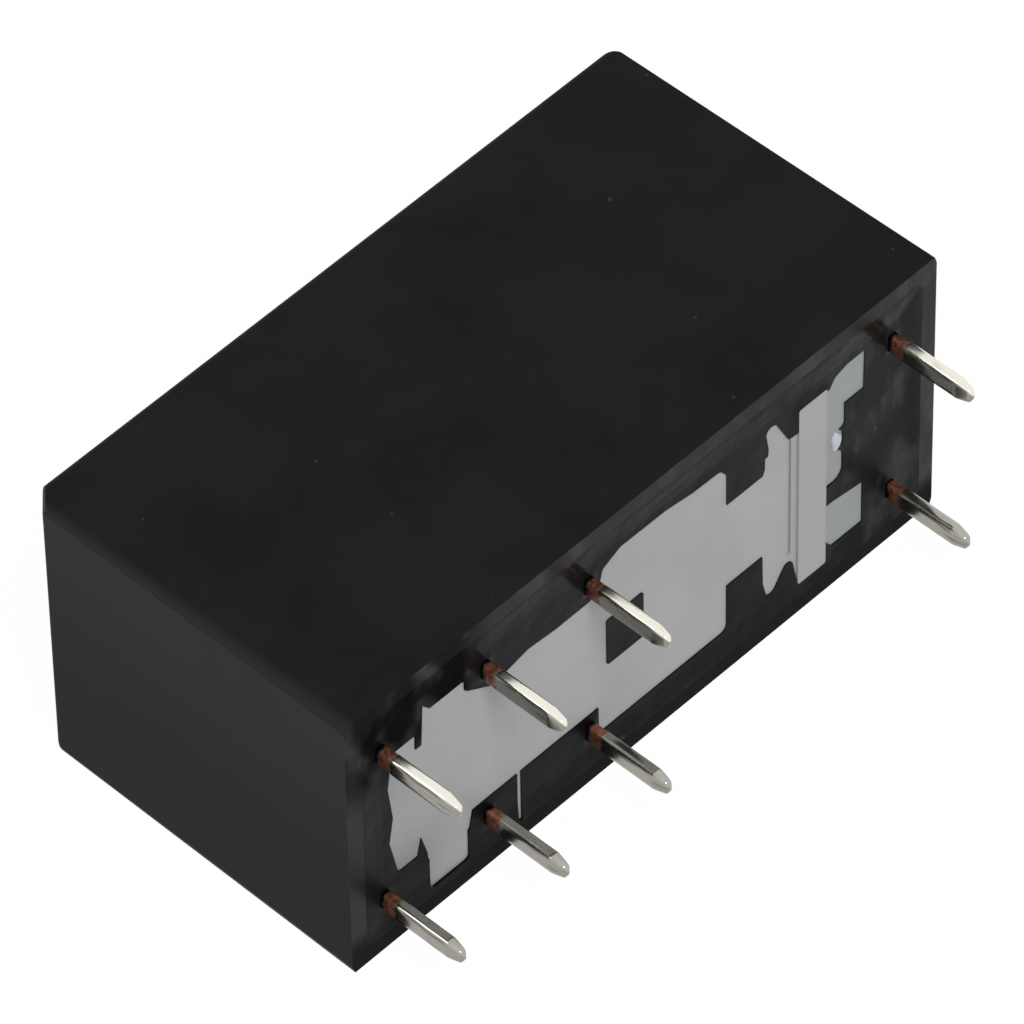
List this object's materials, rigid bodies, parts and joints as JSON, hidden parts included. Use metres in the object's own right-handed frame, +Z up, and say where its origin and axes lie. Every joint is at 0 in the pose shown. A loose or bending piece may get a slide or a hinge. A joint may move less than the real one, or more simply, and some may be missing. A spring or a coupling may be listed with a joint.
{
  "type": "relay",
  "caption": "Sealed miniature power relay in a black case, with flat tinned pins in two rows, a coil with armature, a sliding card and changeover contacts inside.",
  "frame": {"origin": "centre of the bounding box's bottom face, with the relay lying on its long side", "axes": "+X along the case towards the coil pins, +Y from the pin side into the case, +Z up from the resting side"},
  "size_m": [0.0288, 0.0186, 0.0126],
  "materials": {
    "case_black": "matte black",
    "base_grey": "smooth light grey",
    "resin_black": "glossy black potting",
    "bobbin_white": "matte natural",
    "winding": "lacquered copper wire",
    "iron": "plated iron",
    "blade": "spring steel",
    "card": "matte natural",
    "tinned_copper": "tinned, bare copper at the root",
    "spring_copper": "copper alloy strip",
    "contact_silver": "satin silver alloy"
  },
  "bodies": {
    "case": {"cover": "case_black", "base": "base_grey", "sealing_resin": "resin_black", "bobbin": "bobbin_white", "coil_winding": "winding", "core": "iron", "yoke": "iron", "armature_spring": "blade", "common_terminal_left": "tinned_copper", "nc_terminal_left": "tinned_copper", "no_terminal_left": "tinned_copper", "coil_terminal_left": "tinned_copper", "coil_lead_left": "winding", "nc_contact_left": "contact_silver", "no_contact_left": "contact_silver", "common_terminal_right": "tinned_copper", "nc_terminal_right": "tinned_copper", "no_terminal_right": "tinned_copper", "coil_terminal_right": "tinned_copper", "coil_lead_right": "winding", "nc_contact_right": "contact_silver", "no_contact_right": "contact_silver"},
    "armature": {"armature": "iron"},
    "card": {"actuator_card": "card"},
    "spring_left": {"contact_spring_left": "spring_copper", "moving_contact_left": "contact_silver"},
    "spring_right": {"contact_spring_right": "spring_copper", "moving_contact_right": "contact_silver"}
  },
  "joints": [
    {"name": "armature_pivot", "type": "hinge", "parent": "case", "child": "armature", "pos_m": [0.01123, -0.0029, 0.0063], "axis": [0, 0, 1], "range_deg": [0, 4.91], "stiffness_Nm_per_rad": 0.004, "springref_deg": -6.88},
    {"name": "card_slide", "type": "slide", "parent": "case", "child": "card", "axis": [-1, 0, 0], "range_m": [0, 0.000864]},
    {"name": "contact_left", "type": "hinge", "parent": "case", "child": "spring_left", "pos_m": [-0.0075, -0.00145, 0.0096], "axis": [0, 0, 1], "range_deg": [0, 5.75]},
    {"name": "contact_right", "type": "hinge", "parent": "case", "child": "spring_right", "pos_m": [-0.0075, -0.00145, 0.003], "axis": [0, 0, 1], "range_deg": [0, 5.75]}
  ],
  "couplings": [
    {"joint": "card_slide", "follows": "armature_pivot", "m_per_rad": 0.010038},
    {"joint": "contact_left", "follows": "armature_pivot", "ratio": 1.1691},
    {"joint": "contact_right", "follows": "armature_pivot", "ratio": 1.1691}
  ]
}
